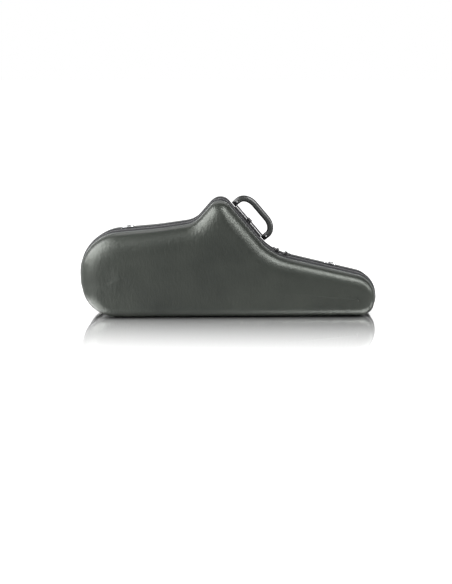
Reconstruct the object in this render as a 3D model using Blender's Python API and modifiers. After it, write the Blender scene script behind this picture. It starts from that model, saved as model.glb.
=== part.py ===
# Tenor saxophone case: two moulded shells closed by a zip, standing on the hinge side.
# Metres. X runs from the bow end (-X) to the neck end (+X), Y from front to rear, Z up.
import bpy
import bmesh
from math import atan2, cos, pi, radians, sin, tan
from mathutils import Matrix, Vector

# Seam outline, as corners of a polygon that are rounded to a radius: x, z, radius.
CASE_LENGTH = 0.840
HALF_LENGTH = CASE_LENGTH / 2.0
NECK_END_HEIGHT = 0.1053
NECK_LOW_RADIUS = 0.048
NECK_HIGH_RADIUS = 0.070
SLOPE_FOOT_X = 0.2952 * HALF_LENGTH
SLOPE_FOOT_Z = 0.1744
SLOPE_FOOT_RADIUS = 0.150
PEAK_X = -0.0529 * HALF_LENGTH
PEAK_Z = 0.3483
PEAK_RADIUS = 0.036
VALLEY_X = -0.2264 * HALF_LENGTH
VALLEY_Z = 0.2637
VALLEY_RADIUS = 0.070
BEND_X = -0.4762 * HALF_LENGTH
BEND_Z = 0.2480
BEND_RADIUS = 0.600
BOW_HEIGHT = 0.2271
BOW_HIGH_RADIUS = 0.122
BOW_LOW_RADIUS = 0.108

# Shell form.
BOW_HALF_DEPTH = 0.104
NECK_HALF_DEPTH = 0.072
FACE_CROWN = 0.004
SHOULDER = 0.080
SHOULDER_POWER_SHARE = 1.8
BASE_EDGE_RADIUS = 0.030
SHELL_WALL = 0.0035
SPINE_BOW_X = -0.7143 * HALF_LENGTH
SPINE_BOW_Z = 0.118
SPINE_NECK_X = 0.869 * HALF_LENGTH
SPINE_NECK_Z = 0.052
SPINE_LEAN_SHARE = 0.30
NORMAL_FADE = 0.080

# Seam band, from the piping on one side to the piping on the other.
GAP = 0.0003
BAND_HALF_WIDTH = 0.0305
BAND_FLAT_HALF_WIDTH = 0.016
BAND_DROP = 0.004
PIPING_RADIUS = 0.0016
PARTING_Y = -0.009
COIL_WIDTH = 0.0035
COIL_DEPTH = 0.0026
COIL_RISE = 0.0006
TAPE_WIDTH = 0.0078
TAPE_THICKNESS = 0.0012
TAPE_SINK = 0.0008
COLLAR_THICKNESS = 0.0025
FOLD_WIDTH = 0.0022
FOLD_RISE = 0.0010
ZIP_END_ANGLE = 48.6
HINGE_LEAF_THICKNESS = 0.0022

# Foam.
LINER_WALL = 0.020
LINER_FLOOR = 0.014
LINER_DRAFT = 0.005
LINER_SET_BACK = 0.0015
ISLAND_LENGTH = 0.452 * HALF_LENGTH
ISLAND_WIDTH = 0.036
ISLAND_X = -0.4048 * HALF_LENGTH
ISLAND_Z = 0.126
ISLAND_HEIGHT = 0.045
SADDLE_X = 0.2143 * HALF_LENGTH
SADDLE_WIDTH = 0.034
SADDLE_SPAN = 0.090
SADDLE_Z = 0.083
SADDLE_HEIGHT = 0.046
BODY_TUBE_RADIUS = 0.030
END_BLOCK_X = 0.6905 * HALF_LENGTH
END_BLOCK_WIDTH = 0.026
END_BLOCK_SPAN = 0.040
END_BLOCK_Z = 0.064
END_BLOCK_HEIGHT = 0.034
NECK_TUBE_RADIUS = 0.018
REST_SEAT = 0.0006
REST_EDGE_RADIUS = 0.004

# Handle, in its own frame on the slope: local X down the slope, local Z out of the case.
HANDLE_FROM_PEAK = 0.119
HANDLE_Y = 0.0128
ROD_HEIGHT = 0.0076
ROD_RADIUS = 0.0022
LOOP_HALF_LENGTH = 0.064
LOOP_HEIGHT = 0.0408
LOOP_BEND_LENGTH = 0.0380
LOOP_BEND_HEIGHT = 0.0275
BAR_RADIUS = 0.0088
FOOT_HEIGHT = 0.0125
FOOT_LUG_RADIUS = 0.0056
FOOT_LENGTH = 0.0150
FOOT_CAP = 0.0050
FOOT_RIVET_RADIUS = 0.0021
FOOT_RIVET_RISE = 0.0010
BASE_WIDTH = 0.0146
BASE_THICKNESS = 0.0028
KNUCKLE_LENGTH = 0.014
KNUCKLE_RADIUS = 0.0048
SCREW_RADIUS = 0.0021
SCREW_SIDE = 0.0047
SCREW_RISE = 0.0012
SCREW_OFFSET = 0.022
PLASTIC_EDGE_RADIUS = 0.0008

# Strap rings and zip sliders.
RING_BOW_X = -0.681 * HALF_LENGTH
RING_NECK_X = 0.6857 * HALF_LENGTH
RING_WIDTH = 0.026
RING_LENGTH = 0.018
RING_WIRE = 0.0016
RING_CORNER = 0.006
RING_HEEL = 0.0015
RING_Y = 0.0143
SADDLE_PLATE_LENGTH = 0.014
SADDLE_PLATE_WIDTH = 0.015
SADDLE_PLATE_THICKNESS = 0.0012
SADDLE_LOOP_WALL = 0.0011
SADDLE_RIVET_RADIUS = 0.0026
SADDLE_RIVET_RISE = 0.0010
SADDLE_RIVET_BACK = 0.004
STEEL_EDGE_RADIUS = 0.0004
RING_RISE = 0.0034
SLIDER_UPPER_X = 0.3286 * HALF_LENGTH
SLIDER_LOWER_X = 0.3857 * HALF_LENGTH
SLIDER_LENGTH = 0.013
SLIDER_WIDTH = 0.011
SLIDER_THICKNESS = 0.0022
BRIDGE_HEIGHT = 0.0075
BRIDGE_WIDTH = 0.0044
BRIDGE_LENGTH = 0.0070
BRIDGE_SEAT = 0.0008
PIN_RISE = 0.0030
PIN_BORE_RADIUS = 0.0017
PULL_LENGTH = 0.0140
PULL_WIDTH = 0.010
PULL_WIRE = 0.0013
PULL_CLEARANCE = 0.0006
PULL_HEEL = 0.006

# Fineness of the seam: the turn and the length of its longest pieces.
ARC_STEP_ANGLE = 13.0
RUN_STEP = 0.090

for old in list(bpy.data.objects):
    bpy.data.objects.remove(old, do_unlink=True)


def new_collection(name):
    """A collection of the scene with this name."""
    made = bpy.data.collections.new(name)
    bpy.context.scene.collection.children.link(made)
    return made


PARTS = new_collection("tenor_saxophone_case")
CUTTERS = new_collection("cutters")


def finish(name, colour, roughness, metallic=0.0):
    """A plain Principled material."""
    mat = bpy.data.materials.new(name)
    mat.use_nodes = True
    shader = mat.node_tree.nodes["Principled BSDF"]
    shader.inputs["Base Color"].default_value = (*colour, 1.0)
    shader.inputs["Roughness"].default_value = roughness
    shader.inputs["Metallic"].default_value = metallic
    return mat


COVER = ("cover", (0.060, 0.064, 0.058), 0.45)
PLASTIC = ("black_plastic", (0.015, 0.015, 0.016), 0.40)
WEBBING = ("woven_band", (0.030, 0.031, 0.033), 0.85)
FOAM = ("velvet_foam", (0.055, 0.055, 0.060), 0.95)
STEEL = ("steel", (0.62, 0.63, 0.64), 0.25, 1.0)
GRIP = ("grip", (0.085, 0.090, 0.088), 0.42)


def add_part(name, mesh, look, parent=None, place=None):
    """A named object of the model, with a material of its own."""
    made = bpy.data.objects.new(name, mesh)
    PARTS.objects.link(made)
    made.data.materials.append(finish(f"{name}_{look[0]}", *look[1:]))
    made.parent = parent
    if place is not None:
        made.matrix_local = place
    mesh.shade_smooth()
    mesh.set_sharp_from_angle(angle=radians(40.0))
    return made


def mesh_from(work, name):
    """The mesh of a bmesh, with its faces pointing out."""
    bmesh.ops.recalc_face_normals(work, faces=work.faces)
    mesh = bpy.data.meshes.new(name)
    work.to_mesh(mesh)
    work.free()
    return mesh


class Station:
    """A point of the seam outline, with its inward normal and its target on the spine."""

    def __init__(self, point, inward):
        self.point = point
        self.inward = inward
        self.base = min(1.0, max(0.0, (inward.y - 0.30) / 0.65))
        along = point.x + SPINE_LEAN_SHARE * (1.0 - self.base) * max(0.0, point.y - SPINE_BOW_Z)
        share = (along - SPINE_BOW_X) / (SPINE_NECK_X - SPINE_BOW_X)
        share = min(1.0, max(0.0, share))
        bow = Vector((SPINE_BOW_X, SPINE_BOW_Z))
        self.target = bow.lerp(Vector((SPINE_NECK_X, SPINE_NECK_Z)), share)
        self.reach = (self.target - point).length
        self.crown = FACE_CROWN * (1.0 - share ** 2)

    def inside(self, inset):
        """The point of the case's side view that lies inset from the seam outline."""
        if inset <= 0.0:
            return self.point + self.inward * inset
        keep = max(0.0, 1.0 - inset / NORMAL_FADE)
        heading = (self.target - self.point).normalized()
        return self.point + (self.inward * keep + heading * (1.0 - keep)) * inset


def seam_corners():
    """The corners of the seam outline, anticlockwise from the neck end's foot."""
    return [
        (Vector((HALF_LENGTH, 0.0)), NECK_LOW_RADIUS),
        (Vector((HALF_LENGTH, NECK_END_HEIGHT)), NECK_HIGH_RADIUS),
        (Vector((SLOPE_FOOT_X, SLOPE_FOOT_Z)), SLOPE_FOOT_RADIUS),
        (Vector((PEAK_X, PEAK_Z)), PEAK_RADIUS),
        (Vector((VALLEY_X, VALLEY_Z)), VALLEY_RADIUS),
        (Vector((BEND_X, BEND_Z)), BEND_RADIUS),
        (Vector((-HALF_LENGTH, BOW_HEIGHT)), BOW_HIGH_RADIUS),
        (Vector((-HALF_LENGTH, 0.0)), BOW_LOW_RADIUS),
    ]


def seam_stations():
    """Rounds the corners and divides the runs between them."""
    corners = seam_corners()
    arcs = []
    for i, (corner, radius) in enumerate(corners):
        before = (corner - corners[i - 1][0]).normalized()
        after = (corners[(i + 1) % len(corners)][0] - corner).normalized()
        turn = atan2(before.x * after.y - before.y * after.x, before.dot(after))
        side = 1.0 if turn > 0.0 else -1.0
        left = Vector((-before.y, before.x))
        centre = corner - before * radius * tan(abs(turn) / 2.0) + left * side * radius
        steps = max(2, round(abs(turn) / radians(ARC_STEP_ANGLE)))
        arc = []
        for k in range(steps + 1):
            angle = turn * k / steps
            inward = Matrix.Rotation(angle, 2) @ left
            arc.append((centre - inward * side * radius, inward))
        arcs.append(arc)
    stations = []
    for i, arc in enumerate(arcs):
        stations += [Station(*pair) for pair in arc]
        start = arc[-1]
        end = arcs[(i + 1) % len(arcs)][0]
        steps = max(1, round((end[0] - start[0]).length / RUN_STEP))
        for k in range(1, steps):
            stations.append(Station(start[0].lerp(end[0], k / steps), start[1]))
    return stations


STATIONS = seam_stations()


def half_depth(x):
    """Half the case's depth, which narrows towards the neck end."""
    share = x / CASE_LENGTH + 0.5
    return BOW_HALF_DEPTH + (NECK_HALF_DEPTH - BOW_HALF_DEPTH) * share


def band_inset(station, y):
    """How far the band has fallen from the seam outline at this distance from the middle."""
    slope = (abs(y) - BAND_FLAT_HALF_WIDTH) / (BAND_HALF_WIDTH - BAND_FLAT_HALF_WIDTH)
    fall = min(1.0, max(0.0, slope)) ** 1.5
    return BAND_DROP * fall * (1.0 - station.base)


def loft(name, stations, section):
    """Joins a section, a list of x, y, z points at each station, into one capped bar."""
    work = bmesh.new()
    rows = [[work.verts.new(p) for p in section(s)] for s in stations]
    for one, two in zip(rows, rows[1:]):
        for j in range(len(one)):
            k = (j + 1) % len(one)
            work.faces.new((one[j], one[k], two[k], two[j]))
    work.faces.new(rows[0])
    work.faces.new(rows[-1])
    return mesh_from(work, name)


def point_at(station, inset, y):
    """World point inset from the seam outline, at depth y."""
    flat = station.inside(inset)
    return Vector((flat.x, y, flat.y))


SHELL_RIM_Y = BAND_HALF_WIDTH + 2.0 * PIPING_RADIUS + 3.0 * GAP
SHOULDER_ANGLES = [0.0, 20.0, 38.0, 55.0, 72.0, 90.0]
BASE_ANGLES = [0.0, 0.0, 25.0, 47.0, 69.0, 90.0]
FACE_SHARES = [0.30, 0.62, 0.90]


def shell_profile(station, side, inwards=0.0):
    """Points of the shell's outer skin from its rim to the face, moved in by inwards."""
    points = []
    drop = BAND_DROP * (1.0 - station.base)
    shoulder = min(SHOULDER, 0.72 * station.reach - drop)
    for k, (high, low) in enumerate(zip(SHOULDER_ANGLES, BASE_ANGLES)):
        high, low = radians(high), radians(low)
        upper_inset = drop + shoulder * (1.0 - cos(high)) ** SHOULDER_POWER_SHARE
        lower_inset = BASE_EDGE_RADIUS * (1.0 - cos(low))
        inset = upper_inset + (lower_inset - upper_inset) * station.base
        flat = station.inside(inset + inwards)
        full = half_depth(flat.x) - inwards
        upper = SHELL_RIM_Y + (full - SHELL_RIM_Y) * sin(high)
        lower = SHELL_RIM_Y
        if k:
            lower = full - BASE_EDGE_RADIUS * (1.0 - sin(low))
        depth = upper + (lower - upper) * station.base
        points.append(Vector((flat.x, side * depth, flat.y)))
    last = inset + inwards
    for share in FACE_SHARES:
        flat = station.inside(last + (station.reach - last) * share)
        crown = station.crown * share ** 2 * (3.0 - 2.0 * share)
        depth = half_depth(flat.x) - inwards + crown
        points.append(Vector((flat.x, side * depth, flat.y)))
    return points


def open_skin(work, sections):
    """A closed ring of open sections, with the last points joined by one face."""
    rows = [[work.verts.new(p) for p in section] for section in sections]
    for i, one in enumerate(rows):
        two = rows[(i + 1) % len(rows)]
        for j in range(len(one) - 1):
            work.faces.new((one[j], one[j + 1], two[j + 1], two[j]))
    work.faces.new([row[-1] for row in rows])
    return rows


def add_shell(name, side):
    """Moulded shell: its outer skin, thickened inwards."""
    work = bmesh.new()
    open_skin(work, [shell_profile(s, side) for s in STATIONS])
    mesh = mesh_from(work, name)
    middle = sum((p.normal.y * p.area for p in mesh.polygons))
    if middle * side < 0.0:
        mesh.flip_normals()
    shell = add_part(name, mesh, COVER)
    wall = shell.modifiers.new("wall", "SOLIDIFY")
    wall.thickness = SHELL_WALL
    wall.offset = -1.0
    wall.use_even_offset = True


LINER_CLEARANCE = SHELL_WALL + 5.0 * GAP
LINER_RIM_INSET = BAND_DROP + COLLAR_THICKNESS + 5.0 * GAP


def liner_floor_y(x):
    """Depth of the recess in the foam."""
    return half_depth(x) - LINER_CLEARANCE - LINER_FLOOR


def add_liner(name, side):
    """Foam liner: fits the shell outside and holds the recess for the instrument."""
    parting = PARTING_Y + side * LINER_SET_BACK
    work = bmesh.new()
    sections = []
    for station in STATIONS:
        outer = shell_profile(station, side, LINER_CLEARANCE)
        mouth = LINER_RIM_INSET + LINER_WALL
        foot = mouth + LINER_DRAFT
        section = []
        for share in (0.88, 0.5, 0.0):
            edge = point_at(station, foot + (station.reach - foot) * share, 0.0)
            edge.y = side * liner_floor_y(edge.x)
            section.append(edge)
        section.append(point_at(station, mouth, parting))
        section.append(point_at(station, LINER_RIM_INSET, parting))
        back = side * (SHELL_RIM_Y - PIPING_RADIUS)
        section.append(point_at(station, LINER_RIM_INSET, back))
        sections.append(section + outer[1:])
    rows = open_skin(work, sections)
    work.faces.new([row[0] for row in rows])
    add_part(name, mesh_from(work, name), FOAM)


def box_mesh(name, size, bevel):
    """A block about its own centre, with rounded edges."""
    work = bmesh.new()
    bmesh.ops.create_cube(work, size=1.0)
    bmesh.ops.scale(work, vec=size, verts=work.verts)
    bmesh.ops.bevel(
        work, geom=work.edges[:], offset=bevel, segments=2, affect="EDGES", profile=0.5
    )
    return mesh_from(work, name)


def rod_mesh(name, radius, length, axis="Z", sides=20):
    """A round bar about its own centre, along one axis."""
    work = bmesh.new()
    bmesh.ops.create_cone(
        work, cap_ends=True, segments=sides, radius1=radius, radius2=radius, depth=length
    )
    turns = {"X": Matrix.Rotation(pi / 2.0, 3, "Y"), "Y": Matrix.Rotation(pi / 2.0, 3, "X")}
    if axis in turns:
        bmesh.ops.rotate(work, matrix=turns[axis], verts=work.verts)
    return mesh_from(work, name)


def combine(target, mesh, place, operation="DIFFERENCE"):
    """Cuts a mesh out of a part, or joins it on, with the tool kept as a guide."""
    tool = bpy.data.objects.new(f"{target.name}_tool", mesh)
    CUTTERS.objects.link(tool)
    tool.parent = target.parent
    tool.matrix_local = place
    tool.hide_render = True
    tool.display_type = "WIRE"
    step = target.modifiers.new("combine", "BOOLEAN")
    step.operation = operation
    step.object = tool


def add_island(name, side):
    """Foam island that stands inside the bow, between the body tube and the bell tube."""
    work = bmesh.new()
    half = (ISLAND_LENGTH - ISLAND_WIDTH) / 2.0
    rings = []
    for share, shrink in ((0.0, 1.0), (0.8, 0.86), (1.0, 0.62)):
        ring = []
        for end in (1.0, -1.0):
            for k in range(9):
                angle = -pi / 2.0 + pi * k / 8.0
                x = end * (half + cos(angle) * ISLAND_WIDTH / 2.0 * shrink)
                z = end * sin(angle) * ISLAND_WIDTH / 2.0 * shrink
                y = side * (liner_floor_y(ISLAND_X + x) - REST_SEAT - ISLAND_HEIGHT * share)
                ring.append(work.verts.new((ISLAND_X + x, y, ISLAND_Z + z)))
        rings.append(ring)
    for low, high in zip(rings, rings[1:]):
        for j in range(len(low)):
            k = (j + 1) % len(low)
            work.faces.new((low[j], low[k], high[k], high[j]))
    work.faces.new(rings[0])
    work.faces.new(rings[-1])
    add_part(name, mesh_from(work, name), FOAM)


def add_rest(name, side, x, z, width, span, height, radius):
    """Foam block with a round channel for the tube that lies along X."""
    base_y = liner_floor_y(x + width / 2.0) - REST_SEAT
    mesh = box_mesh(name, (width, height, span), REST_EDGE_RADIUS)
    place = Matrix.Translation((x, side * (base_y - height / 2.0), z))
    block = add_part(name, mesh, FOAM, place=place)
    channel = rod_mesh(f"{name}_channel", radius, 2.0 * width, "X", 28)
    combine(block, channel, Matrix.Translation((x, side * (base_y - height), z)))


def zip_stations():
    """The stretch of the seam that the zip runs along: all but the flat side."""
    return [s for s in STATIONS if s.inward.y < sin(radians(ZIP_END_ANGLE))]


def base_stations():
    """The stretch of the seam that the hinge runs along, from the bow end to the neck end."""
    straight = [s for s in STATIONS if s.inward.y > 0.999]
    return sorted(straight, key=lambda s: s.point.x)


ZIP_RUN = zip_stations()
BASE_RUN = base_stations()


def strip(points):
    """A section function from pairs of depth y and rise over the band."""

    def section(station):
        return [point_at(station, band_inset(station, y) - rise, y) for y, rise in points]

    return section


def add_seam_half(suffix, side):
    """Collar, piping, tape and coil row of one half."""
    coil_near = PARTING_Y + side * GAP / 2.0
    coil_far = coil_near + side * COIL_WIDTH
    middle = (coil_near + coil_far) / 2.0
    add_part(
        f"zip_coil_{suffix}",
        loft(
            f"zip_coil_{suffix}",
            ZIP_RUN,
            strip([
                (coil_near, COIL_RISE * 0.5), (middle, COIL_RISE),
                (coil_far, 0.0), (coil_far, -COIL_DEPTH), (coil_near, -COIL_DEPTH),
            ]),
        ),
        PLASTIC,
    )
    tape_near = coil_far + side * GAP
    tape_far = tape_near + side * TAPE_WIDTH
    bottom = -TAPE_SINK - TAPE_THICKNESS
    add_part(
        f"zip_tape_{suffix}",
        loft(
            f"zip_tape_{suffix}",
            ZIP_RUN,
            strip([
                (tape_near, -TAPE_SINK), (tape_far, -TAPE_SINK), (tape_far, bottom),
                (tape_near, bottom),
            ]),
        ),
        WEBBING,
    )
    fold = tape_far + side * GAP
    fold_far = fold + side * FOLD_WIDTH
    edge = side * BAND_HALF_WIDTH
    under = -COLLAR_THICKNESS
    add_part(
        f"collar_{suffix}",
        loft(
            f"collar_{suffix}",
            ZIP_RUN,
            strip([
                (fold, FOLD_RISE * 0.6), (fold + side * FOLD_WIDTH * 0.4, FOLD_RISE),
                (fold_far, 0.0), ((fold_far + edge) / 2.0, 0.0), (edge, 0.0), (edge, under),
                ((fold_far + edge) / 2.0, under), (fold, under),
            ]),
        ),
        WEBBING,
    )
    cord_y = side * (BAND_HALF_WIDTH + GAP * 1.5 + PIPING_RADIUS)

    def cord(station):
        centre = BAND_DROP * (1.0 - station.base) + PIPING_RADIUS * 0.2
        ring = []
        for k in range(6):
            angle = 2.0 * pi * k / 6.0
            y = cord_y + PIPING_RADIUS * cos(angle)
            ring.append(point_at(station, centre + PIPING_RADIUS * sin(angle), y))
        return ring

    mesh = loft(f"piping_{suffix}", ZIP_RUN, cord)
    add_part(f"piping_{suffix}", mesh, COVER)
    near = PARTING_Y + side * GAP / 2.0
    far = side * (SHELL_RIM_Y - GAP)
    leaf = [(near, 0.0), (far, 0.0), (far, HINGE_LEAF_THICKNESS), (near, HINGE_LEAF_THICKNESS)]
    mesh = loft(
        f"hinge_leaf_{suffix}",
        BASE_RUN,
        lambda s: [point_at(s, inset, y) for y, inset in leaf],
    )
    add_part(f"hinge_leaf_{suffix}", mesh, WEBBING)


def frame_on(point, down, name):
    """An empty on the seam, with local X along the seam and local Z out of the case."""
    holder = bpy.data.objects.new(name, None)
    PARTS.objects.link(holder)
    holder.location = (point.x, 0.0, point.y)
    holder.rotation_euler = (0.0, atan2(-down.y, down.x), 0.0)
    return holder


def seam_at(x):
    """Point and direction of the seam's upper side at this x."""
    upper = [s for s in STATIONS if s.inward.y < 0.0]
    upper.sort(key=lambda s: s.point.x)
    for one, two in zip(upper, upper[1:]):
        if one.point.x <= x <= two.point.x:
            share = (x - one.point.x) / (two.point.x - one.point.x)
            inward = one.inward.lerp(two.inward, share).normalized()
            return one.point.lerp(two.point, share), Vector((-inward.y, inward.x))
    raise ValueError("x is off the seam")


def tube(name, path, radius, look, parent=None, cyclic=False, sides=3):
    """A round bar along a path, with filled ends."""
    curve = bpy.data.curves.new(name, "CURVE")
    curve.dimensions = "3D"
    curve.bevel_depth = radius
    curve.bevel_resolution = sides - 1
    curve.use_fill_caps = True
    spline = curve.splines.new("POLY")
    spline.points.add(len(path) - 1)
    for slot, point in zip(spline.points, path):
        slot.co = (*point, 1.0)
    spline.use_cyclic_u = cyclic
    made = bpy.data.objects.new(name, curve)
    PARTS.objects.link(made)
    made.data.materials.append(finish(f"{name}_{look[0]}", *look[1:]))
    made.parent = parent
    return made


def quarter_bend(centre_x, centre_z, length, height):
    """Points of a quarter ellipse in the local XZ plane, from its side to its top."""
    path = []
    for k in range(9):
        angle = pi / 2.0 * k / 8.0
        path.append((centre_x + length * cos(angle), 0.0, centre_z + height * sin(angle)))
    return path


def add_handle():
    """Base on the collar, rod, and the loop with its two feet."""
    peak = Vector((PEAK_X, PEAK_Z))
    down = (Vector((SLOPE_FOOT_X, SLOPE_FOOT_Z)) - peak).normalized()
    holder = frame_on(peak + down * HANDLE_FROM_PEAK, down, "handle_frame")
    swing = bpy.data.objects.new("handle_axis", None)
    PARTS.objects.link(swing)
    swing.parent = holder
    swing.location = (0.0, HANDLE_Y, ROD_HEIGHT)
    plate_z = BASE_THICKNESS / 2.0 + 3.0 * GAP
    plate_length = 2.0 * (LOOP_HALF_LENGTH - FOOT_LENGTH / 2.0) - 4.0 * GAP
    plate = box_mesh("handle_base", (plate_length, BASE_WIDTH, BASE_THICKNESS), PLASTIC_EDGE_RADIUS)
    base = add_part(
        "handle_base", plate, PLASTIC, holder, Matrix.Translation((0.0, HANDLE_Y, plate_z))
    )
    on_rod = Matrix.Translation((0.0, HANDLE_Y, ROD_HEIGHT))
    knuckle = rod_mesh("knuckle", KNUCKLE_RADIUS, KNUCKLE_LENGTH, "X", 20)
    combine(base, knuckle, on_rod, "UNION")
    bore = rod_mesh("bore", ROD_RADIUS + GAP, 2.0 * LOOP_HALF_LENGTH, "X", 16)
    combine(base, bore, on_rod)
    rod_length = 2.0 * LOOP_HALF_LENGTH + FOOT_LENGTH * 0.5
    add_part(
        "handle_rod", rod_mesh("handle_rod", ROD_RADIUS, rod_length, "X", 16), STEEL, holder,
        on_rod,
    )
    for label, offset in (("upper", -SCREW_OFFSET), ("lower", SCREW_OFFSET)):
        top = 3.0 * GAP + BASE_THICKNESS + GAP + SCREW_RISE / 2.0
        head = rod_mesh(f"base_screw_{label}", SCREW_RADIUS, SCREW_RISE, "Z", 16)
        add_part(
            f"base_screw_{label}", head, STEEL, holder,
            Matrix.Translation((offset, HANDLE_Y - SCREW_SIDE, top)),
        )
    straight = LOOP_HALF_LENGTH - LOOP_BEND_LENGTH
    rise = LOOP_HEIGHT - LOOP_BEND_HEIGHT
    leg = [(LOOP_HALF_LENGTH, 0.0, FOOT_HEIGHT + GAP)]
    path = leg + quarter_bend(straight, rise, LOOP_BEND_LENGTH, LOOP_BEND_HEIGHT)
    path += [(-x, y, z) for x, y, z in reversed(path)]
    tube("handle_loop", path, BAR_RADIUS, GRIP, swing)
    for label, end in (("upper", -1.0), ("lower", 1.0)):
        add_foot(f"handle_foot_{label}", end, swing)
        rivet = rod_mesh(f"foot_rivet_{label}", FOOT_RIVET_RADIUS, FOOT_RIVET_RISE, "Y", 14)
        rivet_y = -BAR_RADIUS - GAP - FOOT_RIVET_RISE / 2.0
        rivet_z = FOOT_HEIGHT - 0.8 * FOOT_CAP
        spot = Matrix.Translation((end * LOOP_HALF_LENGTH, rivet_y, rivet_z))
        add_part(f"foot_rivet_{label}", rivet, STEEL, swing, spot)


def add_foot(name, end, swing):
    """Foot of the loop: a round lug about the rod that widens to the bar's section."""
    work = bmesh.new()
    sides = 18
    half = FOOT_LENGTH / 2.0
    for k in range(sides):
        angle = 2.0 * pi * k / sides
        for shift in (-half, half):
            work.verts.new((shift, FOOT_LUG_RADIUS * cos(angle), FOOT_LUG_RADIUS * sin(angle)))
        for level in (FOOT_HEIGHT - FOOT_CAP, FOOT_HEIGHT):
            x = BAR_RADIUS * cos(angle)
            work.verts.new((x, BAR_RADIUS * sin(angle), level))
    bmesh.ops.convex_hull(work, input=work.verts)
    loose = [v for v in work.verts if not v.link_faces]
    bmesh.ops.delete(work, geom=loose, context="VERTS")
    place = Matrix.Translation((end * LOOP_HALF_LENGTH, 0.0, 0.0))
    foot = add_part(name, mesh_from(work, name), PLASTIC, swing, place)
    bore = rod_mesh("bore", ROD_RADIUS + GAP, 2.0 * FOOT_LENGTH, "X", 16)
    combine(foot, bore, place)


def add_ring(label, x):
    """Strap ring and the riveted saddle that holds it, on the rear collar."""
    point, down = seam_at(x)
    holder = frame_on(point, down, f"ring_frame_{label}")
    half = RING_WIDTH / 2.0 - RING_WIRE
    flat = half - RING_CORNER
    outer = RING_LENGTH - RING_WIRE - RING_CORNER
    path = [(0.0, -flat, 0.0), (0.0, flat, 0.0), (RING_HEEL, half, 0.0)]
    for middle, start in ((flat, 90.0), (-flat, 0.0)):
        for k in range(5):
            angle = radians(start - 90.0 * k / 4.0)
            path.append((outer + RING_CORNER * cos(angle), middle + RING_CORNER * sin(angle), 0.0))
    path.append((RING_HEEL, -half, 0.0))
    axis = bpy.data.objects.new(f"ring_axis_{label}", None)
    PARTS.objects.link(axis)
    axis.parent = holder
    axis.location = (0.0, RING_Y, RING_RISE)
    tube(f"strap_ring_{label}", path, RING_WIRE, STEEL, axis, cyclic=True)
    plate_x = -SADDLE_PLATE_LENGTH / 2.0
    plate_z = 4.0 * GAP + SADDLE_PLATE_THICKNESS / 2.0
    size = (SADDLE_PLATE_LENGTH, SADDLE_PLATE_WIDTH, SADDLE_PLATE_THICKNESS)
    place = Matrix.Translation((plate_x - RING_WIRE - GAP, RING_Y, plate_z))
    plate = add_part(
        f"ring_saddle_{label}", box_mesh("plate", size, STEEL_EDGE_RADIUS), STEEL, holder, place
    )
    bore_radius = RING_WIRE + GAP
    loop = rod_mesh("loop", bore_radius + SADDLE_LOOP_WALL, SADDLE_PLATE_WIDTH * 0.6, "Y", 18)
    spot = Matrix.Translation((0.0, RING_Y, RING_RISE))
    combine(plate, loop, spot, "UNION")
    combine(plate, rod_mesh("bore", bore_radius, 2.0 * RING_WIDTH, "Y", 18), spot)
    head = rod_mesh(f"saddle_rivet_{label}", SADDLE_RIVET_RADIUS, SADDLE_RIVET_RISE, "Z", 16)
    top = 5.0 * GAP + SADDLE_PLATE_THICKNESS + SADDLE_RIVET_RISE / 2.0
    spot = Matrix.Translation((plate_x - SADDLE_RIVET_BACK, RING_Y, top))
    add_part(f"saddle_rivet_{label}", head, STEEL, holder, spot)


def add_slider(label, x, end):
    """Zip slider over the coil rows, and its pull tab, which lies away from the other."""
    point, down = seam_at(x)
    holder = frame_on(point, down, f"slider_frame_{label}")
    base = COIL_RISE + 2.0 * GAP
    size = (SLIDER_LENGTH, SLIDER_WIDTH, SLIDER_THICKNESS)
    place = Matrix.Translation((0.0, PARTING_Y, base + SLIDER_THICKNESS / 2.0))
    plate = box_mesh(f"slider_{label}", size, PLASTIC_EDGE_RADIUS)
    slider = add_part(f"slider_{label}", plate, PLASTIC, holder, place)
    size = (BRIDGE_LENGTH, BRIDGE_WIDTH, BRIDGE_HEIGHT)
    bridge = box_mesh("bridge", size, PLASTIC_EDGE_RADIUS)
    bridge_z = base + SLIDER_THICKNESS + BRIDGE_HEIGHT / 2.0 - BRIDGE_SEAT
    combine(slider, bridge, Matrix.Translation((0.0, PARTING_Y, bridge_z)), "UNION")
    pin_z = base + SLIDER_THICKNESS + PIN_RISE
    bore = rod_mesh("bore", PIN_BORE_RADIUS, 2.0 * SLIDER_WIDTH, "Y", 14)
    combine(slider, bore, Matrix.Translation((0.0, PARTING_Y, pin_z)))
    axis = bpy.data.objects.new(f"pull_axis_{label}", None)
    PARTS.objects.link(axis)
    axis.parent = holder
    axis.location = (0.0, PARTING_Y, pin_z)
    inner = BRIDGE_WIDTH / 2.0 + PULL_CLEARANCE
    half = (inner + PULL_WIDTH / 2.0) / 2.0
    heel = end * PULL_HEEL
    reach = end * PULL_LENGTH
    path = [
        (0.0, -half, 0.0), (0.0, half, 0.0), (heel, half, 0.0),
        (reach * 0.75, half * 0.9, 0.0), (reach, half * 0.45, 0.0),
        (reach, -half * 0.45, 0.0), (reach * 0.75, -half * 0.9, 0.0), (heel, -half, 0.0),
    ]
    tube(f"pull_{label}", path, PULL_WIRE, PLASTIC, axis, cyclic=True, sides=2)


for suffix, side in (("front", -1.0), ("rear", 1.0)):
    add_shell(f"shell_{suffix}", side)
    add_liner(f"liner_{suffix}", side)
    add_island(f"island_{suffix}", side)
    add_rest(
        f"saddle_{suffix}", side, SADDLE_X, SADDLE_Z, SADDLE_WIDTH, SADDLE_SPAN, SADDLE_HEIGHT,
        BODY_TUBE_RADIUS,
    )
    add_rest(
        f"end_block_{suffix}", side, END_BLOCK_X, END_BLOCK_Z, END_BLOCK_WIDTH, END_BLOCK_SPAN,
        END_BLOCK_HEIGHT, NECK_TUBE_RADIUS,
    )
    add_seam_half(suffix, side)

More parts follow.
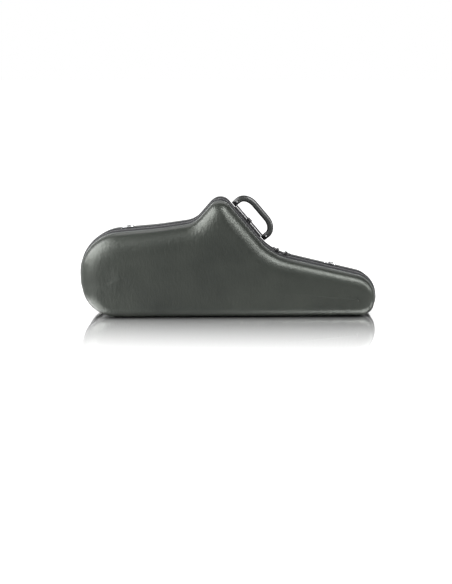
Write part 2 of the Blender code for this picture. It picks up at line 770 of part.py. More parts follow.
add_handle()
add_ring("bow", RING_BOW_X)
add_ring("neck", RING_NECK_X)
add_slider("upper", SLIDER_UPPER_X, -1.0)
add_slider("lower", SLIDER_LOWER_X, 1.0)
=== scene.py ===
from math import atan2, cos, pi, radians, sin, tan

import bmesh
import bpy
from mathutils import Matrix, Vector


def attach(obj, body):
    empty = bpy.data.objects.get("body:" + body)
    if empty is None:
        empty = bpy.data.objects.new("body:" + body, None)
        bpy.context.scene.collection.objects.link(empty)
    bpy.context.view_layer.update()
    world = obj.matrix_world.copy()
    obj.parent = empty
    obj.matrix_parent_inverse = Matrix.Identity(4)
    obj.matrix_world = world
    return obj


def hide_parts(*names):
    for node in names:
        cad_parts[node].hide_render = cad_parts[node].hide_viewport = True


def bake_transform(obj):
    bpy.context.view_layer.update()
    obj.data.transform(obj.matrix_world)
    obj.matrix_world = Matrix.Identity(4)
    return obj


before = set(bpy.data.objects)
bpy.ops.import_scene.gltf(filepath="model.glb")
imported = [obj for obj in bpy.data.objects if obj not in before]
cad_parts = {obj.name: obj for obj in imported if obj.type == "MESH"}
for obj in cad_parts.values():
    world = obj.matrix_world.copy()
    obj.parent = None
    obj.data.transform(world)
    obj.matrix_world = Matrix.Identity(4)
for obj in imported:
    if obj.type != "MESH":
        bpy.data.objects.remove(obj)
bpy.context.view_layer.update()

# Camera. A long lens a little above the case and square to its side, framed as in the
# photograph, which shows 2.86 mm of the case in each of its 452 by 584 pixels.
PIXEL = 0.002862
PICTURE_WIDTH = 452
PICTURE_HEIGHT = 584
CAMERA_AZIMUTH = radians(1.0)
CAMERA_ELEVATION = radians(13.0)
CAMERA_DISTANCE = 4.5
AIM = Vector((-0.0061, 0.0, 0.0556))
SENSOR = 36.0

lens = bpy.data.cameras.new("camera")
lens.sensor_width = SENSOR
lens.lens = SENSOR * CAMERA_DISTANCE / (PIXEL * PICTURE_HEIGHT)
lens.clip_end = 50.0
camera = bpy.data.objects.new("camera", lens)
bpy.context.scene.collection.objects.link(camera)
toward = Vector((
    sin(CAMERA_AZIMUTH) * cos(CAMERA_ELEVATION),
    -cos(CAMERA_AZIMUTH) * cos(CAMERA_ELEVATION),
    sin(CAMERA_ELEVATION),
))
camera.location = AIM + toward * CAMERA_DISTANCE
camera.rotation_euler = toward.to_track_quat("Z", "Y").to_euler()
bpy.context.scene.camera = camera
bpy.context.scene.view_settings.view_transform = "Standard"


# Floor. A polished white table that mirrors the foot of the case, less and less towards the viewer,
# and that is white wherever neither the mirror image nor a shadow falls.
# Close around the case's foot its glow is darkened by painted shade, driven by an occlusion mask.
MIRROR_SHARE = 0.92
MIRROR_NEAR_Y = -0.09
MIRROR_FAR_Y = -0.68
MIRROR_HALF_WIDTH = 0.46
SHADE_SHARE = 0.22
# How far from the case the painted shade on the table reaches.
PAINTED_SHADE_REACH = 0.026
WHITE_LEVEL = 1.42
GLOW_LEVEL = 0.55


def node_tree(name):
    """A new material, its nodes and its output node."""
    made = bpy.data.materials.new(name)
    made.use_nodes = True
    tree = made.node_tree
    tree.nodes.clear()
    output = tree.nodes.new("ShaderNodeOutputMaterial")
    return made, tree, output


def add_node(tree, kind, **settings):
    """A node with some of its settings or unlinked inputs given."""
    made = tree.nodes.new(f"ShaderNode{kind}")
    for key, value in settings.items():
        name = key.replace("_", " ").title()
        if name in made.inputs:
            made.inputs[name].default_value = value
        else:
            setattr(made, key, value)
    return made


floor_look, tree, output = node_tree("polished_table")
white = add_node(tree, "Emission", color=(1.0, 1.0, 1.0, 1.0))
# Painted shade: the table's glow fades to black where the case's foot occludes it, which draws a
# dark contact line and darkens the case's reflections of the table.
painted_shade_mask = add_node(tree, "AmbientOcclusion", distance=PAINTED_SHADE_REACH)
painted_shade_level = add_node(tree, "MapRange")
painted_shade_level.inputs["From Min"].default_value = 0.30
painted_shade_level.inputs["From Max"].default_value = 0.85
seen_by = add_node(tree, "LightPath")
level = add_node(tree, "MapRange")
level.inputs["To Min"].default_value = GLOW_LEVEL
level.inputs["To Max"].default_value = WHITE_LEVEL
tree.links.new(seen_by.outputs["Is Camera Ray"], level.inputs["Value"])
tree.links.new(painted_shade_mask.outputs["AO"], painted_shade_level.inputs["Value"])
tree.links.new(level.outputs["Result"], painted_shade_level.inputs["To Max"])
tree.links.new(painted_shade_level.outputs["Result"], white.inputs["Strength"])
matt = add_node(tree, "BsdfDiffuse", color=(0.92, 0.92, 0.92, 1.0))
mirror = add_node(tree, "BsdfGlossy", roughness=0.04)
mirror.inputs["Color"].default_value = (1.0, 1.0, 1.0, 1.0)
shade = add_node(tree, "MixShader")
shade.inputs["Fac"].default_value = SHADE_SHARE
place = add_node(tree, "NewGeometry")
split = add_node(tree, "SeparateXYZ")
fade = add_node(tree, "MapRange")
fade.inputs["From Min"].default_value = MIRROR_FAR_Y
fade.inputs["From Max"].default_value = MIRROR_NEAR_Y
fade.inputs["To Max"].default_value = MIRROR_SHARE
behind = add_node(tree, "MapRange")
behind.inputs["From Min"].default_value = 0.10
behind.inputs["From Max"].default_value = -0.05
across = add_node(tree, "Math", operation="ABSOLUTE")
beside = add_node(tree, "MapRange")
beside.inputs["From Min"].default_value = MIRROR_HALF_WIDTH + 0.08
beside.inputs["From Max"].default_value = MIRROR_HALF_WIDTH
first = add_node(tree, "Math", operation="MULTIPLY")
second = add_node(tree, "Math", operation="MULTIPLY")
polish = add_node(tree, "MixShader")
tree.links.new(split.outputs["Y"], behind.inputs["Value"])
tree.links.new(split.outputs["X"], across.inputs[0])
tree.links.new(across.outputs[0], beside.inputs["Value"])
tree.links.new(fade.outputs["Result"], first.inputs[0])
tree.links.new(behind.outputs["Result"], first.inputs[1])
tree.links.new(first.outputs[0], second.inputs[0])
tree.links.new(beside.outputs["Result"], second.inputs[1])
tree.links.new(place.outputs["Position"], split.inputs[0])
tree.links.new(split.outputs["Y"], fade.inputs["Value"])
tree.links.new(white.outputs[0], shade.inputs[1])
tree.links.new(matt.outputs[0], shade.inputs[2])
tree.links.new(second.outputs[0], polish.inputs[0])
tree.links.new(shade.outputs[0], polish.inputs[1])
tree.links.new(mirror.outputs[0], polish.inputs[2])
tree.links.new(polish.outputs[0], output.inputs[0])

bpy.ops.mesh.primitive_plane_add(size=14.0, location=(0.0, 0.0, -0.0006))
table_top = bpy.context.object
table_top.name = "table_top"
table_top.data.materials.append(floor_look)


# Light. A white backdrop that the camera and the polished table see, a dim room, and a
# large soft box on each side, which light the left end and the shoulders on the right.
ROOM_LEVEL = 0.09

world = bpy.data.worlds.new("room")
bpy.context.scene.world = world
world.use_nodes = True
room = world.node_tree
room.nodes.clear()
sky = room.nodes.new("ShaderNodeOutputWorld")
seen = room.nodes.new("ShaderNodeBackground")
seen.inputs["Color"].default_value = (1.0, 1.0, 1.0, 1.0)
dim = room.nodes.new("ShaderNodeBackground")
dim.inputs["Color"].default_value = (1.0, 1.0, 1.0, 1.0)
dim.inputs["Strength"].default_value = ROOM_LEVEL
ray = room.nodes.new("ShaderNodeLightPath")
heading = room.nodes.new("ShaderNodeTexCoord")
parts = room.nodes.new("ShaderNodeSeparateXYZ")
backdrop = room.nodes.new("ShaderNodeMapRange")
backdrop.inputs["From Min"].default_value = 0.93
backdrop.inputs["From Max"].default_value = 0.962
in_gloss = room.nodes.new("ShaderNodeMath")
in_gloss.operation = "MULTIPLY"
either = room.nodes.new("ShaderNodeMath")
either.operation = "MAXIMUM"
choose = room.nodes.new("ShaderNodeMixShader")
room.links.new(heading.outputs["Generated"], parts.inputs[0])
room.links.new(parts.outputs["Y"], backdrop.inputs["Value"])
room.links.new(backdrop.outputs["Result"], in_gloss.inputs[0])
room.links.new(ray.outputs["Is Glossy Ray"], in_gloss.inputs[1])
room.links.new(ray.outputs["Is Camera Ray"], either.inputs[0])
room.links.new(in_gloss.outputs[0], either.inputs[1])
room.links.new(either.outputs[0], choose.inputs[0])
room.links.new(dim.outputs[0], choose.inputs[1])
room.links.new(seen.outputs[0], choose.inputs[2])
room.links.new(choose.outputs[0], sky.inputs[0])

SOFT_BOXES = {
    "left_box": ((-1.30, -0.15, 0.95), (1.8, 1.1), 66.0),
    "top_box": ((0.85, -0.60, 1.25), (0.8, 0.9), 38.0),
    "right_box": ((1.30, -0.22, 0.55), (0.5, 0.5), 9.0),
    "left_front_box": ((-1.30, -1.30, 0.75), (0.9, 1.3), 30.0),
    "front_box": ((-0.5, -2.6, 1.8), (2.2, 1.0), 5.0),
    "rear_box": ((0.0, 2.2, 1.4), (1.6, 0.8), 4.0),
}
for name, (spot, size, watts) in SOFT_BOXES.items():
    lamp = bpy.data.lights.new(name, "AREA")
    lamp.shape = "RECTANGLE"
    lamp.size, lamp.size_y = size
    lamp.energy = watts
    holder = bpy.data.objects.new(name, lamp)
    holder.location = spot
    aim = Vector(spot) - Vector((0.0, 0.0, 0.14))
    holder.rotation_euler = aim.to_track_quat("Z", "Y").to_euler()
    bpy.context.scene.collection.objects.link(holder)


# Shells. Moulded shells in two halves, each covered in grey leathercloth that is drawn
# over its outside, and 3.5 mm thick at the rim. The outline has the CAD model's corners.
HALF_LENGTH = 0.420
SEAM_CORNERS = [
    ((HALF_LENGTH, 0.0), 0.048),
    ((HALF_LENGTH, 0.1053), 0.070),
    ((0.124, 0.1744), 0.150),
    ((-0.0222, 0.3483), 0.036),
    ((-0.0951, 0.2637), 0.070),
    ((-0.200, 0.2480), 0.600),
    ((-HALF_LENGTH, 0.2271), 0.122),
    ((-HALF_LENGTH, 0.0), 0.108),
]
SPINE_BOW = Vector((-0.300, 0.118))
SPINE_NECK = Vector((0.365, 0.052))
SPINE_LEAN = 0.30
NORMAL_FADE = 0.12
BOW_HALF_DEPTH = 0.104
NECK_HALF_DEPTH = 0.072
FACE_CROWN = 0.004
SHOULDER = 0.080
SHOULDER_POWER = 1.8
BASE_EDGE_RADIUS = 0.030
SHELL_WALL = 0.0035
BAND_HALF_WIDTH = 0.0305
BAND_FLAT_HALF_WIDTH = 0.016
BAND_DROP = 0.004
PIPING_RADIUS = 0.0016
GAP = 0.0003
RIM_Y = BAND_HALF_WIDTH + 2.0 * PIPING_RADIUS + 3.0 * GAP
UPPER_ANGLES = [0.0, 20.0, 38.0, 55.0, 72.0, 90.0]
LOWER_ANGLES = [0.0, 0.0, 25.0, 47.0, 69.0, 90.0]
SHOULDER_RINGS = 20
FACE_RINGS = [0.15, 0.30, 0.45, 0.60, 0.75, 0.88, 0.96]
ARC_STEP = radians(3.5)
RUN_STEP = 0.012


class Station:
    """A point of the seam outline, with its inward normal and its target on the spine."""

    def __init__(self, point, inward):
        self.point = point
        self.inward = inward
        self.base = min(1.0, max(0.0, (inward.y - 0.30) / 0.65))
        along = point.x + SPINE_LEAN * (1.0 - self.base) * max(0.0, point.y - SPINE_BOW.y)
        share = (along - SPINE_BOW.x) / (SPINE_NECK.x - SPINE_BOW.x)
        share = min(1.0, max(0.0, share))
        self.target = SPINE_BOW.lerp(SPINE_NECK, share)
        self.reach = (self.target - point).length
        self.crown = FACE_CROWN * (1.0 - share ** 2)

    def inside(self, inset):
        """The point of the side view that lies inset from the seam outline."""
        if inset <= 0.0:
            return self.point + self.inward * inset
        keep = max(0.0, 1.0 - inset / NORMAL_FADE) ** 2
        heading = (self.target - self.point).normalized()
        return self.point + (self.inward * keep + heading * (1.0 - keep)) * inset


def seam_stations(arc_step=ARC_STEP, run_step=RUN_STEP):
    """Rounds the seam's corners and divides the runs between them."""
    corners = [(Vector(corner), radius) for corner, radius in SEAM_CORNERS]
    arcs = []
    for i, (corner, radius) in enumerate(corners):
        before = (corner - corners[i - 1][0]).normalized()
        after = (corners[(i + 1) % len(corners)][0] - corner).normalized()
        turn = atan2(before.x * after.y - before.y * after.x, before.dot(after))
        side = 1.0 if turn > 0.0 else -1.0
        left = Vector((-before.y, before.x))
        centre = corner - before * radius * tan(abs(turn) / 2.0) + left * side * radius
        steps = max(2, round(abs(turn) / arc_step))
        arc = []
        for k in range(steps + 1):
            inward = Matrix.Rotation(turn * k / steps, 2) @ left
            arc.append((centre - inward * side * radius, inward))
        arcs.append(arc)
    stations = []
    for i, arc in enumerate(arcs):
        stations += [Station(*pair) for pair in arc]
        start, end = arc[-1], arcs[(i + 1) % len(arcs)][0]
        steps = max(1, round((end[0] - start[0]).length / run_step))
        for k in range(1, steps):
            stations.append(Station(start[0].lerp(end[0], k / steps), start[1]))
    return stations


def half_depth(x):
    """Half the case's depth, which narrows towards the neck end."""
    share = x / (2.0 * HALF_LENGTH) + 0.5
    return BOW_HALF_DEPTH + (NECK_HALF_DEPTH - BOW_HALF_DEPTH) * share


def between(values, share):
    """The value of an evenly spaced list at a share of its length."""
    spot = share * (len(values) - 1)
    low = min(int(spot), len(values) - 2)
    return values[low] + (values[low + 1] - values[low]) * (spot - low)


def shell_section(station, side, inwards=0.0):
    """The skin from the rim over the shoulder to the middle of the face."""
    points = []
    drop = BAND_DROP * (1.0 - station.base)
    shoulder = min(SHOULDER, 0.72 * station.reach - drop)
    flat_end = 1.0 / (len(LOWER_ANGLES) - 1)
    for k in range(SHOULDER_RINGS + 1):
        share = k / SHOULDER_RINGS
        high = radians(between(UPPER_ANGLES, share))
        low = radians(between(LOWER_ANGLES, share))
        upper_inset = drop + shoulder * (1.0 - cos(high)) ** SHOULDER_POWER
        lower_inset = BASE_EDGE_RADIUS * (1.0 - cos(low))
        inset = upper_inset + (lower_inset - upper_inset) * station.base
        spot = station.inside(inset + inwards)
        full = half_depth(spot.x) - inwards
        upper = RIM_Y + (full - RIM_Y) * sin(high)
        lower = full - BASE_EDGE_RADIUS * (1.0 - sin(low))
        if share < flat_end:
            lower = RIM_Y + (lower - RIM_Y) * share / flat_end
        points.append(Vector((spot.x, side * (upper + (lower - upper) * station.base), spot.y)))
    last = inset + inwards
    for share in FACE_RINGS:
        spot = station.inside(last + (station.reach - last) * share)
        crown = station.crown * share ** 2 * (3.0 - 2.0 * share)
        points.append(Vector((spot.x, side * (half_depth(spot.x) - inwards + crown), spot.y)))
    return points


def skin(name, sections, ring, closed_section=False, cap=False, middle=False):
    """Joins sections into a smooth skin, with its lengths in metres as its map."""
    work = bmesh.new()
    lay = work.loops.layers.uv.new("map")
    rows = [[work.verts.new(p) for p in section] for section in sections]
    run = [0.0]
    for one, two in zip(sections, sections[1:]):
        run.append(run[-1] + (Vector(two[0]) - Vector(one[0])).length)
    run.append(run[-1] + (Vector(sections[0][0]) - Vector(sections[-1][0])).length)
    across = [0.0]
    wide = list(sections[0]) + [sections[0][0]]
    for one, two in zip(wide, wide[1:]):
        across.append(across[-1] + (Vector(two) - Vector(one)).length)
    pairs = [(i, i + 1) for i in range(len(rows) - 1)]
    if ring:
        pairs.append((len(rows) - 1, 0))
    count = len(sections[0])
    for i, k in pairs:
        for j in range(count if closed_section else count - 1):
            n = (j + 1) % count
            face = work.faces.new((rows[i][j], rows[i][n], rows[k][n], rows[k][j]))
            face.smooth = True
            spots = ((run[i], across[j]), (run[i], across[j + 1]),
                     (run[i + 1], across[j + 1]), (run[i + 1], across[j]))
            for loop, spot in zip(face.loops, spots):
                loop[lay].uv = spot
    if cap:
        work.faces.new(rows[0])
        work.faces.new(rows[-1])
    if middle:
        work.faces.new([row[-1] for row in rows]).smooth = True
    bmesh.ops.recalc_face_normals(work, faces=work.faces)
    mesh = bpy.data.meshes.new(name)
    work.to_mesh(mesh)
    work.free()
    made = bpy.data.objects.new(name, mesh)
    bpy.context.scene.collection.objects.link(made)
    return made


def ease_face(made, start, passes):
    """Smooths the depth of a shell's face, from ring number start to the middle."""
    count = SHOULDER_RINGS + 1 + len(FACE_RINGS)
    work = bmesh.new()
    work.from_mesh(made.data)
    work.verts.ensure_lookup_table()
    inner = [v for v in work.verts if v.index % count >= start]
    for _ in range(passes):
        bmesh.ops.smooth_vert(work, verts=inner, factor=0.5, use_axis_y=True)
    work.to_mesh(made.data)
    work.free()


def keep_modifiers(made):
    """Turns an object's modifiers into its mesh."""
    bpy.context.view_layer.update()
    solid = made.evaluated_get(bpy.context.evaluated_depsgraph_get())
    mesh = bpy.data.meshes.new_from_object(solid)
    made.modifiers.clear()
    made.data = mesh


def leathercloth(name, dark, light, grain=1.0):
    """Grained leathercloth: fine cells, soft creases and a little wear in its sheen."""
    made, tree, output = node_tree(name)
    shader = add_node(tree, "BsdfPrincipled")
    shader.inputs["Specular IOR Level"].default_value = 0.42
    shader.inputs["Specular Tint"].default_value = (0.95, 1.0, 0.93, 1.0)
    spot = add_node(tree, "TexCoord")
    cells = add_node(tree, "TexVoronoi", scale=620.0)
    cells.feature = "DISTANCE_TO_EDGE"
    ridge = add_node(tree, "MapRange")
    ridge.inputs["From Max"].default_value = 0.25
    fine = add_node(tree, "TexNoise", scale=1400.0, detail=2.0)
    stretch = add_node(tree, "Mapping")
    stretch.inputs["Scale"].default_value = (165.0, 165.0, 62.0)
    creases = add_node(tree, "TexNoise", scale=1.0, detail=5.0, roughness=0.60)
    tone = add_node(tree, "TexNoise", scale=7.0, detail=4.0)
    colour = add_node(tree, "ValToRGB")
    colour.color_ramp.elements[0].position = 0.32
    colour.color_ramp.elements[0].color = (*dark, 1.0)
    colour.color_ramp.elements[1].position = 0.72
    colour.color_ramp.elements[1].color = (*light, 1.0)
    gloss = add_node(tree, "MapRange")
    gloss.inputs["To Min"].default_value = 0.30
    gloss.inputs["To Max"].default_value = 0.42
    one = add_node(tree, "Bump")
    one.inputs["Strength"].default_value = 0.22 * grain
    one.inputs["Distance"].default_value = 0.00018
    two = add_node(tree, "Bump")
    two.inputs["Strength"].default_value = 0.12 * grain
    two.inputs["Distance"].default_value = 0.00012
    three = add_node(tree, "Bump")
    three.inputs["Strength"].default_value = 0.55 * grain
    three.inputs["Distance"].default_value = 0.0019
    join = tree.links.new
    join(spot.outputs["Object"], cells.inputs["Vector"])
    join(spot.outputs["Object"], fine.inputs["Vector"])
    join(spot.outputs["Object"], stretch.inputs["Vector"])
    join(spot.outputs["Object"], tone.inputs["Vector"])
    join(stretch.outputs[0], creases.inputs["Vector"])
    join(cells.outputs["Distance"], ridge.inputs["Value"])
    join(tone.outputs["Fac"], colour.inputs["Fac"])
    join(colour.outputs["Color"], shader.inputs["Base Color"])
    join(creases.outputs["Fac"], gloss.inputs["Value"])
    join(gloss.outputs["Result"], shader.inputs["Roughness"])
    join(creases.outputs["Fac"], three.inputs["Height"])
    join(fine.outputs["Fac"], two.inputs["Height"])
    join(three.outputs["Normal"], two.inputs["Normal"])
    join(ridge.outputs["Result"], one.inputs["Height"])
    join(two.outputs["Normal"], one.inputs["Normal"])
    join(one.outputs["Normal"], shader.inputs["Normal"])
    join(shader.outputs[0], output.inputs[0])
    return made


cover_look = leathercloth("grey_leathercloth", (0.011, 0.0125, 0.011), (0.019, 0.021, 0.018))
stations = seam_stations()
for half, side, body in (("front", -1.0, "lid"), ("rear", 1.0, "rear")):
    sections = [shell_section(s, side) for s in stations]
    shell = skin(f"cover_{half}", sections, ring=True, middle=True)
    outward = sum(p.normal.y * p.area for p in shell.data.polygons)
    if outward * side < 0.0:
        shell.data.flip_normals()
    ease_face(shell, start=SHOULDER_RINGS + 1, passes=12)
    wall = shell.modifiers.new("wall", "SOLIDIFY")
    wall.thickness = SHELL_WALL
    wall.offset = -1.0
    keep_modifiers(shell)
    shell.data.materials.append(cover_look)
    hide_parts(f"shell_{half}")
    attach(shell, body)


# Seam band. On each half a stiff woven collar with a turned-over edge carries the zip
# tape, and a piping cord in leathercloth closes the joint between collar and shell.
PARTING_Y = -0.009
COIL_WIDTH = 0.0035
COIL_DEPTH = 0.0026
COIL_RISE = 0.0006
COIL_PITCH = 0.0028
TAPE_WIDTH = 0.0078
TAPE_THICKNESS = 0.0012
TAPE_SINK = 0.0008
COLLAR_THICKNESS = 0.0025
FOLD_WIDTH = 0.0022
FOLD_RISE = 0.0010
ZIP_END_SLOPE = sin(radians(48.6))
PIPING_SIDES = 14


def band_point(station, rise, y):
    """A point over the band's crowned surface, at depth y."""
    slope = (abs(y) - BAND_FLAT_HALF_WIDTH) / (BAND_HALF_WIDTH - BAND_FLAT_HALF_WIDTH)
    fall = BAND_DROP * min(1.0, max(0.0, slope)) ** 1.5 * (1.0 - station.base)
    spot = station.inside(fall - rise)
    return Vector((spot.x, y, spot.y))


def evenly(run, step):
    """Stations at even steps along a run of them."""
    made = []
    carry = 0.0
    for one, two in zip(run, run[1:]):
        length = (two.point - one.point).length
        if length <= 0.0:
            continue
        while carry < length:
            share = carry / length
            inward = one.inward.lerp(two.inward, share).normalized()
            made.append(Station(one.point.lerp(two.point, share), inward))
            carry += step
        carry -= length
    return made


def woven(name, dark, light, threads):
    """Woven nylon: crossing threads, counted in threads to the metre."""
    made, tree, output = node_tree(name)
    shader = add_node(tree, "BsdfPrincipled", roughness=0.70)
    shader.inputs["Specular IOR Level"].default_value = 0.25
    shader.inputs["Sheen Weight"].default_value = 0.03
    spot = add_node(tree, "TexCoord")
    warp = add_node(tree, "TexWave", scale=threads / 6.2832)
    warp.bands_direction = "X"
    weft = add_node(tree, "TexWave", scale=threads / 6.2832)
    weft.bands_direction = "Y"
    cross = add_node(tree, "Math", operation="MULTIPLY")
    colour = add_node(tree, "ValToRGB")
    colour.color_ramp.elements[0].color = (*dark, 1.0)
    colour.color_ramp.elements[1].color = (*light, 1.0)
    bump = add_node(tree, "Bump")
    bump.inputs["Strength"].default_value = 0.5
    bump.inputs["Distance"].default_value = 0.0003
    join = tree.links.new
    join(spot.outputs["UV"], warp.inputs["Vector"])
    join(spot.outputs["UV"], weft.inputs["Vector"])
    join(warp.outputs["Fac"], cross.inputs[0])
    join(weft.outputs["Fac"], cross.inputs[1])
    join(cross.outputs[0], colour.inputs["Fac"])
    join(cross.outputs[0], bump.inputs["Height"])
    join(colour.outputs["Color"], shader.inputs["Base Color"])
    join(bump.outputs["Normal"], shader.inputs["Normal"])
    join(shader.outputs[0], output.inputs[0])
    return made


collar_look = woven("woven_collar", (0.006, 0.006, 0.007), (0.022, 0.023, 0.025), 1100.0)
tape_look = woven("woven_tape", (0.005, 0.005, 0.006), (0.016, 0.016, 0.018), 1600.0)
# The piping is several times lighter than the cover's leathercloth. Part of this is the cord's own
# colour, and part is a painted highlight along the bright bead of each seam.
piping_look = leathercloth("piping_cloth", (0.060, 0.064, 0.062), (0.090, 0.095, 0.092), 0.8)


def moulded(name, colour, rough, speck=900.0):
    """Moulded plastic with a faint texture from its mould."""
    made, tree, output = node_tree(name)
    shader = add_node(tree, "BsdfPrincipled")
    spot = add_node(tree, "TexCoord")
    grain = add_node(tree, "TexNoise", scale=speck, detail=3.0)
    gloss = add_node(tree, "MapRange")
    gloss.inputs["To Min"].default_value = rough - 0.07
    gloss.inputs["To Max"].default_value = rough + 0.08
    tint = add_node(tree, "ValToRGB")
    tint.color_ramp.elements[0].color = (*(0.8 * c for c in colour), 1.0)
    tint.color_ramp.elements[1].color = (*(1.2 * c for c in colour), 1.0)
    bump = add_node(tree, "Bump")
    bump.inputs["Strength"].default_value = 0.15
    bump.inputs["Distance"].default_value = 0.0001
    join = tree.links.new
    join(spot.outputs["Object"], grain.inputs["Vector"])
    join(grain.outputs["Fac"], gloss.inputs["Value"])
    join(grain.outputs["Fac"], tint.inputs["Fac"])
    join(grain.outputs["Fac"], bump.inputs["Height"])
    join(gloss.outputs["Result"], shader.inputs["Roughness"])
    join(tint.outputs["Color"], shader.inputs["Base Color"])
    join(bump.outputs["Normal"], shader.inputs["Normal"])
    join(shader.outputs[0], output.inputs[0])
    return made


coil_look = moulded("nylon_coil", (0.024, 0.024, 0.026), 0.38)
zip_run = [s for s in stations if s.inward.y < ZIP_END_SLOPE]
coil_run = evenly(zip_run, COIL_PITCH / 6.0)
for half, side, body in (("front", -1.0, "lid"), ("rear", 1.0, "rear")):
    near = PARTING_Y + side * GAP / 2.0
    far = near + side * COIL_WIDTH
    turns = []
    for count, station in enumerate(coil_run):
        swell = 0.5 + 0.5 * cos(2.0 * pi * count / 6.0)
        top = COIL_RISE - 0.0008 * (1.0 - swell)
        out = far - side * 0.0004 * (1.0 - swell)
        turns.append([
            band_point(station, top * 0.5, near), band_point(station, top, (near + far) / 2.0),
            band_point(station, top - 0.0004, far - side * 0.0006), band_point(station, -0.001, out),
            band_point(station, -COIL_DEPTH, out), band_point(station, -COIL_DEPTH, near),
        ])
    coil = skin(f"coil_{half}", turns, ring=False, closed_section=True, cap=True)
    coil.data.materials.append(coil_look)
    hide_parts(f"zip_coil_{half}")
    tape_near = far + side * GAP
    tape_far = tape_near + side * TAPE_WIDTH
    low = -TAPE_SINK - TAPE_THICKNESS
    tape = skin(
        f"tape_{half}",
        [[band_point(s, -TAPE_SINK, tape_near), band_point(s, -TAPE_SINK, tape_far),
          band_point(s, low, tape_far), band_point(s, low, tape_near)] for s in zip_run],
        ring=False, closed_section=True, cap=True,
    )
    tape.data.materials.append(tape_look)
    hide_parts(f"zip_tape_{half}")
    fold = tape_far + side * GAP
    edge = side * BAND_HALF_WIDTH
    layers = []
    for station in zip_run:
        ring = []
        for k in range(7):
            angle = pi * k / 6.0
            y = fold + side * FOLD_WIDTH * (0.5 - 0.5 * cos(angle))
            ring.append(band_point(station, FOLD_RISE * sin(angle), y))
        start = fold + side * FOLD_WIDTH
        for k in range(1, 6):
            ring.append(band_point(station, 0.0, start + (edge - start) * k / 5.0))
        ring.append(band_point(station, -COLLAR_THICKNESS, edge))
        ring.append(band_point(station, -COLLAR_THICKNESS, (edge + fold) / 2.0))
        ring.append(band_point(station, -COLLAR_THICKNESS, fold))
        layers.append(ring)
    collar = skin(f"band_{half}", layers, ring=False, closed_section=True, cap=True)
    collar.data.materials.append(collar_look)
    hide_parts(f"collar_{half}")
    cord_y = side * (BAND_HALF_WIDTH + GAP * 1.5 + PIPING_RADIUS)
    rounds = []
    for station in zip_run:
        centre = BAND_DROP * (1.0 - station.base) + PIPING_RADIUS * 0.2
        ring = []
        for k in range(PIPING_SIDES):
            angle = 2.0 * pi * k / PIPING_SIDES
            spot = station.inside(centre + PIPING_RADIUS * sin(angle))
            ring.append(Vector((spot.x, cord_y + PIPING_RADIUS * cos(angle), spot.y)))
        rounds.append(ring)
    cord = skin(f"piping_cord_{half}", rounds, ring=False, closed_section=True, cap=True)
    cord.data.materials.append(piping_look)
    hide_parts(f"piping_{half}")
    for piece in (coil, tape, collar, cord):
        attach(piece, body)


# Cloth hinge. One woven strip is sewn along both shells on the flat side, and the case opens by
# folding it.
# Here it is built as one flat strip, attached to neither shell.
LEAF_THICKNESS = 0.0022
LEAF_COLUMNS = 28

base_run = sorted((s for s in stations if s.inward.y > 0.999), key=lambda s: s.point.x)
strips = []
for station in base_run:
    ring = []
    for height in (0.0, LEAF_THICKNESS):
        columns = range(LEAF_COLUMNS + 1)
        for k in columns if height == 0.0 else reversed(columns):
            y = (2.0 * k / LEAF_COLUMNS - 1.0) * (RIM_Y - GAP)
            ring.append(Vector((station.point.x, y, height)))
    strips.append(ring)
hinge_cloth = skin("hinge_cloth", strips, ring=False, closed_section=True, cap=True)
hinge_cloth.data.materials.append(collar_look)
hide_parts("hinge_leaf_front", "hinge_leaf_rear")
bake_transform(hinge_cloth)


# Foam. The recess in each half, the island inside the bow, the saddle and the end block
# are soft foam under dark velvet, so their edges are rounded and slightly uneven.
FOAM_VOXEL = {"liner": 0.0050, "island": 0.0030, "saddle": 0.0028, "end_block": 0.0026}


def velvet(name, dark, light):
    """Short-piled velvet: soft sheen, and a pile that lies this way and that."""
    made, tree, output = node_tree(name)
    shader = add_node(tree, "BsdfPrincipled", roughness=0.85)
    shader.inputs["Sheen Weight"].default_value = 0.6
    shader.inputs["Sheen Roughness"].default_value = 0.4
    shader.inputs["Specular IOR Level"].default_value = 0.2
    spot = add_node(tree, "TexCoord")
    pile = add_node(tree, "TexNoise", scale=1500.0, detail=2.0)
    lie = add_node(tree, "TexNoise", scale=22.0, detail=4.0, distortion=0.6)
    colour = add_node(tree, "ValToRGB")
    colour.color_ramp.elements[0].position = 0.35
    colour.color_ramp.elements[0].color = (*dark, 1.0)
    colour.color_ramp.elements[1].position = 0.68
    colour.color_ramp.elements[1].color = (*light, 1.0)
    bump = add_node(tree, "Bump")
    bump.inputs["Strength"].default_value = 0.4
    bump.inputs["Distance"].default_value = 0.0004
    join = tree.links.new
    join(spot.outputs["Object"], pile.inputs["Vector"])
    join(spot.outputs["Object"], lie.inputs["Vector"])
    join(lie.outputs["Fac"], colour.inputs["Fac"])
    join(colour.outputs["Color"], shader.inputs["Base Color"])
    join(pile.outputs["Fac"], bump.inputs["Height"])
    join(bump.outputs["Normal"], shader.inputs["Normal"])
    join(shader.outputs[0], output.inputs[0])
    return made


velvet_look = velvet("dark_velvet", (0.020, 0.020, 0.024), (0.042, 0.042, 0.048))
for kind, voxel in FOAM_VOXEL.items():
    for half, body in (("front", "lid"), ("rear", "rear")):
        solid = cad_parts[f"{kind}_{half}"]
        foam = bpy.data.objects.new(f"{kind}_foam_{half}", solid.data.copy())
        bpy.context.scene.collection.objects.link(foam)
        melt = foam.modifiers.new("melt", "REMESH")
        melt.mode = "VOXEL"
        melt.voxel_size = voxel
        ease = foam.modifiers.new("ease", "SMOOTH")
        ease.factor = 0.5
        ease.iterations = 4
        keep_modifiers(foam)
        foam.data.shade_smooth()
        foam.data.materials.clear()
        foam.data.materials.append(velvet_look)
        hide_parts(f"{kind}_{half}")
        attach(foam, body)


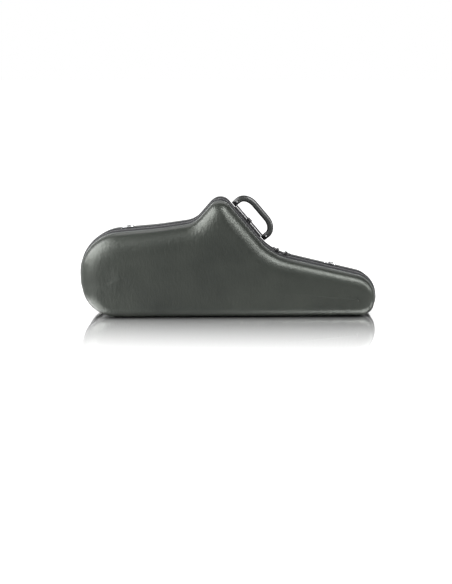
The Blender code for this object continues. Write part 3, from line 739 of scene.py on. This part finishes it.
# Handle. A round bar with a soft grey grip, bent to a loop, its ends in two black feet
# that turn on a steel rod. A black base on the rear collar holds the rod.
HANDLE_AXIS = Vector((0.06018, 0.0128, 0.2621))
DOWN_SLOPE = Vector((0.6435, 0.0, -0.7654))
OUT_OF_CASE = Vector((0.7654, 0.0, 0.6435))
LOOP_HALF_LENGTH = 0.064
LOOP_HEIGHT = 0.0408
LOOP_BEND_LENGTH = 0.0380
LOOP_BEND_HEIGHT = 0.0275
BAR_RADIUS = 0.0088
FOOT_HEIGHT = 0.0125
BAR_SIDES = 32


def round_bar(name, path, radius, sides, ring=False):
    """A round bar along a path that lies in one plane."""
    lines = []
    flat = (path[1] - path[0]).cross(path[len(path) // 2] - path[0]).normalized()
    count = len(path)
    for k, spot in enumerate(path):
        ahead = path[(k + 1) % count] if ring or k < count - 1 else spot
        behind = path[k - 1] if ring or k else spot
        along = (ahead - behind).normalized()
        across = along.cross(flat)
        lines.append([
            spot + (across * cos(2.0 * pi * n / sides) + flat * sin(2.0 * pi * n / sides)) * radius
            for n in range(sides)
        ])
    return skin(name, lines, ring=ring, closed_section=True, cap=not ring)


half_path = [(LOOP_HALF_LENGTH, FOOT_HEIGHT + GAP)]
for k in range(17):
    angle = pi / 2.0 * k / 16.0
    half_path.append((
        LOOP_HALF_LENGTH - LOOP_BEND_LENGTH + LOOP_BEND_LENGTH * cos(angle),
        LOOP_HEIGHT - LOOP_BEND_HEIGHT + LOOP_BEND_HEIGHT * sin(angle),
    ))
loop_path = half_path + [(-a, h) for a, h in reversed(half_path)]
points = [HANDLE_AXIS + DOWN_SLOPE * a + OUT_OF_CASE * h for a, h in loop_path]
grip = round_bar("grip", points, BAR_RADIUS, BAR_SIDES)
grip.data.materials.append(moulded("soft_grip", (0.014, 0.015, 0.0145), 0.34, 500.0))
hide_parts("handle_loop")
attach(grip, "handle")


# Black fittings and bright metal. The feet, the base, the sliders and their pulls are
# moulded in black. Rod and screws are dark steel, rivets, rings and saddles bright steel.
black_look = moulded("black_fitting", (0.012, 0.012, 0.013), 0.34)


def polished(name, colour):
    """Polished steel with faint hairlines."""
    made, tree, output = node_tree(name)
    shader = add_node(tree, "BsdfPrincipled", metallic=1.0)
    spot = add_node(tree, "TexCoord")
    marks = add_node(tree, "TexNoise", scale=300.0, detail=5.0)
    gloss = add_node(tree, "MapRange")
    gloss.inputs["To Min"].default_value = 0.12
    gloss.inputs["To Max"].default_value = 0.30
    tint = add_node(tree, "ValToRGB")
    tint.color_ramp.elements[0].color = (*(0.85 * c for c in colour), 1.0)
    tint.color_ramp.elements[1].color = (*colour, 1.0)
    join = tree.links.new
    join(spot.outputs["Object"], marks.inputs["Vector"])
    join(marks.outputs["Fac"], gloss.inputs["Value"])
    join(marks.outputs["Fac"], tint.inputs["Fac"])
    join(gloss.outputs["Result"], shader.inputs["Roughness"])
    join(tint.outputs["Color"], shader.inputs["Base Color"])
    join(shader.outputs[0], output.inputs[0])
    return made


steel_look = polished("polished_steel", (0.74, 0.75, 0.76))
blued_look = polished("blued_steel", (0.055, 0.055, 0.058))
BLACK_NODES = ["handle_base", "handle_foot_upper", "handle_foot_lower", "slider_upper",
               "slider_lower", "pull_upper", "pull_lower"]
BLUED_NODES = ["handle_rod", "base_screw_upper", "base_screw_lower"]
STEEL_NODES = ["foot_rivet_upper", "foot_rivet_lower", "ring_saddle_bow", "ring_saddle_neck",
               "saddle_rivet_bow", "saddle_rivet_neck", "strap_ring_bow", "strap_ring_neck"]
for names, look in (
    (BLACK_NODES, black_look), (BLUED_NODES, blued_look), (STEEL_NODES, steel_look)
):
    for name in names:
        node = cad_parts[name]
        if not node.material_slots:
            node.data.materials.append(look)
        for holder in node.material_slots:
            holder.material = look
